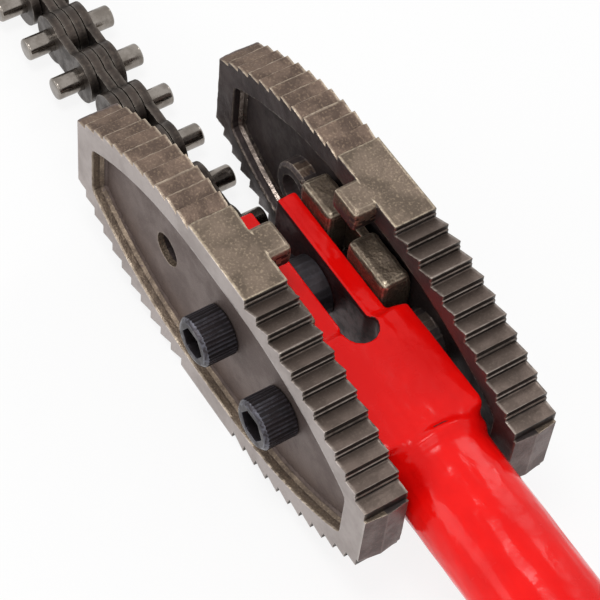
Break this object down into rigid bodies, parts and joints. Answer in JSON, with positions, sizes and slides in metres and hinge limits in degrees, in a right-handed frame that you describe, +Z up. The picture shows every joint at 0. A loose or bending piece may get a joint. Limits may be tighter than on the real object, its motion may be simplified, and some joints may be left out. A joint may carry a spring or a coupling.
{
  "type": "chain pipe wrench",
  "caption": "Chain pipe wrench with two double-edged toothed jaws, a forked head, a tube handle and a flat plate chain.",
  "frame": {"origin": "on the floor, in the middle of the whole tool with its chain laid out straight", "axes": "+X along the tool from the handle's end to the chain's free end, +Y to the side of the screw heads, +Z up"},
  "size_m": [1.2902, 0.1006, 0.0932],
  "materials": {
    "jaw_steel": "forged, with machined rims and tooth edges",
    "plate_steel": "brown-grey, tumbled",
    "pin_steel": "ground bright",
    "black_oxide": "black oxide, oiled",
    "red_paint": "thick gloss",
    "black_plastic": "matte"
  },
  "bodies": {
    "tool": {"fork_head": "red_paint", "handle_tube": "red_paint", "weld_bead": "red_paint", "end_plug": "black_plastic", "left_jaw": "jaw_steel", "right_jaw": "jaw_steel", "left_spacer": "jaw_steel", "right_spacer": "jaw_steel", "front_screw": "black_oxide", "front_nut": "black_oxide", "rear_screw": "black_oxide", "rear_nut": "black_oxide"},
    "anchor": {"anchor_link": "black_oxide"},
    "link_01": {"link_01_left_plate": "plate_steel", "link_01_right_plate": "plate_steel", "link_01_rear_pin": "pin_steel", "link_01_front_pin": "pin_steel"},
    "link_02": {"link_02_left_plate": "plate_steel", "link_02_right_plate": "plate_steel"},
    "link_03": {"link_03_left_plate": "plate_steel", "link_03_right_plate": "plate_steel", "link_03_rear_pin": "pin_steel", "link_03_front_pin": "pin_steel"},
    "link_04": {"link_04_left_plate": "plate_steel", "link_04_right_plate": "plate_steel"},
    "link_05": {"link_05_left_plate": "plate_steel", "link_05_right_plate": "plate_steel", "link_05_rear_pin": "pin_steel", "link_05_front_pin": "pin_steel"},
    "link_06": {"link_06_left_plate": "plate_steel", "link_06_right_plate": "plate_steel"},
    "link_07": {"link_07_left_plate": "plate_steel", "link_07_right_plate": "plate_steel", "link_07_rear_pin": "pin_steel", "link_07_front_pin": "pin_steel"},
    "link_08": {"link_08_left_plate": "plate_steel", "link_08_right_plate": "plate_steel"},
    "link_09": {"link_09_left_plate": "plate_steel", "link_09_right_plate": "plate_steel", "link_09_rear_pin": "pin_steel", "link_09_front_pin": "pin_steel"},
    "link_10": {"link_10_left_plate": "plate_steel", "link_10_right_plate": "plate_steel"},
    "link_11": {"link_11_left_plate": "plate_steel", "link_11_right_plate": "plate_steel", "link_11_rear_pin": "pin_steel", "link_11_front_pin": "pin_steel"},
    "link_12": {"link_12_left_plate": "plate_steel", "link_12_right_plate": "plate_steel"},
    "link_13": {"link_13_left_plate": "plate_steel", "link_13_right_plate": "plate_steel", "link_13_rear_pin": "pin_steel", "link_13_front_pin": "pin_steel"},
    "link_14": {"link_14_left_plate": "plate_steel", "link_14_right_plate": "plate_steel"},
    "link_15": {"link_15_left_plate": "plate_steel", "link_15_right_plate": "plate_steel", "link_15_rear_pin": "pin_steel", "link_15_front_pin": "pin_steel"}
  },
  "joints": [
    {"name": "anchor_hinge", "type": "hinge", "parent": "tool", "child": "anchor", "pos_m": [0.19412, 0, 0.0466], "axis": [0, -1, 0], "range_deg": [-90, 150]},
    {"name": "link_01_hinge", "type": "hinge", "parent": "anchor", "child": "link_01", "pos_m": [0.25288, 0, 0.0112], "axis": [0, 1, 0], "range_deg": [-90, 90]},
    {"name": "link_02_hinge", "type": "hinge", "parent": "link_01", "child": "link_02", "pos_m": [0.27828, 0, 0.0112], "axis": [0, -1, 0], "range_deg": [-90, 90]},
    {"name": "link_03_hinge", "type": "hinge", "parent": "link_02", "child": "link_03", "pos_m": [0.30368, 0, 0.0112], "axis": [0, 1, 0], "range_deg": [-90, 90]},
    {"name": "link_04_hinge", "type": "hinge", "parent": "link_03", "child": "link_04", "pos_m": [0.32908, 0, 0.0112], "axis": [0, -1, 0], "range_deg": [-90, 90]},
    {"name": "link_05_hinge", "type": "hinge", "parent": "link_04", "child": "link_05", "pos_m": [0.35448, 0, 0.0112], "axis": [0, 1, 0], "range_deg": [-90, 90]},
    {"name": "link_06_hinge", "type": "hinge", "parent": "link_05", "child": "link_06", "pos_m": [0.37988, 0, 0.0112], "axis": [0, -1, 0], "range_deg": [-90, 90]},
    {"name": "link_07_hinge", "type": "hinge", "parent": "link_06", "child": "link_07", "pos_m": [0.40528, 0, 0.0112], "axis": [0, 1, 0], "range_deg": [-90, 90]},
    {"name": "link_08_hinge", "type": "hinge", "parent": "link_07", "child": "link_08", "pos_m": [0.43068, 0, 0.0112], "axis": [0, -1, 0], "range_deg": [-90, 90]},
    {"name": "link_09_hinge", "type": "hinge", "parent": "link_08", "child": "link_09", "pos_m": [0.45608, 0, 0.0112], "axis": [0, 1, 0], "range_deg": [-90, 90]},
    {"name": "link_10_hinge", "type": "hinge", "parent": "link_09", "child": "link_10", "pos_m": [0.48148, 0, 0.0112], "axis": [0, -1, 0], "range_deg": [-90, 90]},
    {"name": "link_11_hinge", "type": "hinge", "parent": "link_10", "child": "link_11", "pos_m": [0.50688, 0, 0.0112], "axis": [0, 1, 0], "range_deg": [-90, 90]},
    {"name": "link_12_hinge", "type": "hinge", "parent": "link_11", "child": "link_12", "pos_m": [0.53228, 0, 0.0112], "axis": [0, -1, 0], "range_deg": [-90, 90]},
    {"name": "link_13_hinge", "type": "hinge", "parent": "link_12", "child": "link_13", "pos_m": [0.55768, 0, 0.0112], "axis": [0, 1, 0], "range_deg": [-90, 90]},
    {"name": "link_14_hinge", "type": "hinge", "parent": "link_13", "child": "link_14", "pos_m": [0.58308, 0, 0.0112], "axis": [0, -1, 0], "range_deg": [-90, 90]},
    {"name": "link_15_hinge", "type": "hinge", "parent": "link_14", "child": "link_15", "pos_m": [0.60848, 0, 0.0112], "axis": [0, 1, 0], "range_deg": [-90, 90]}
  ]
}
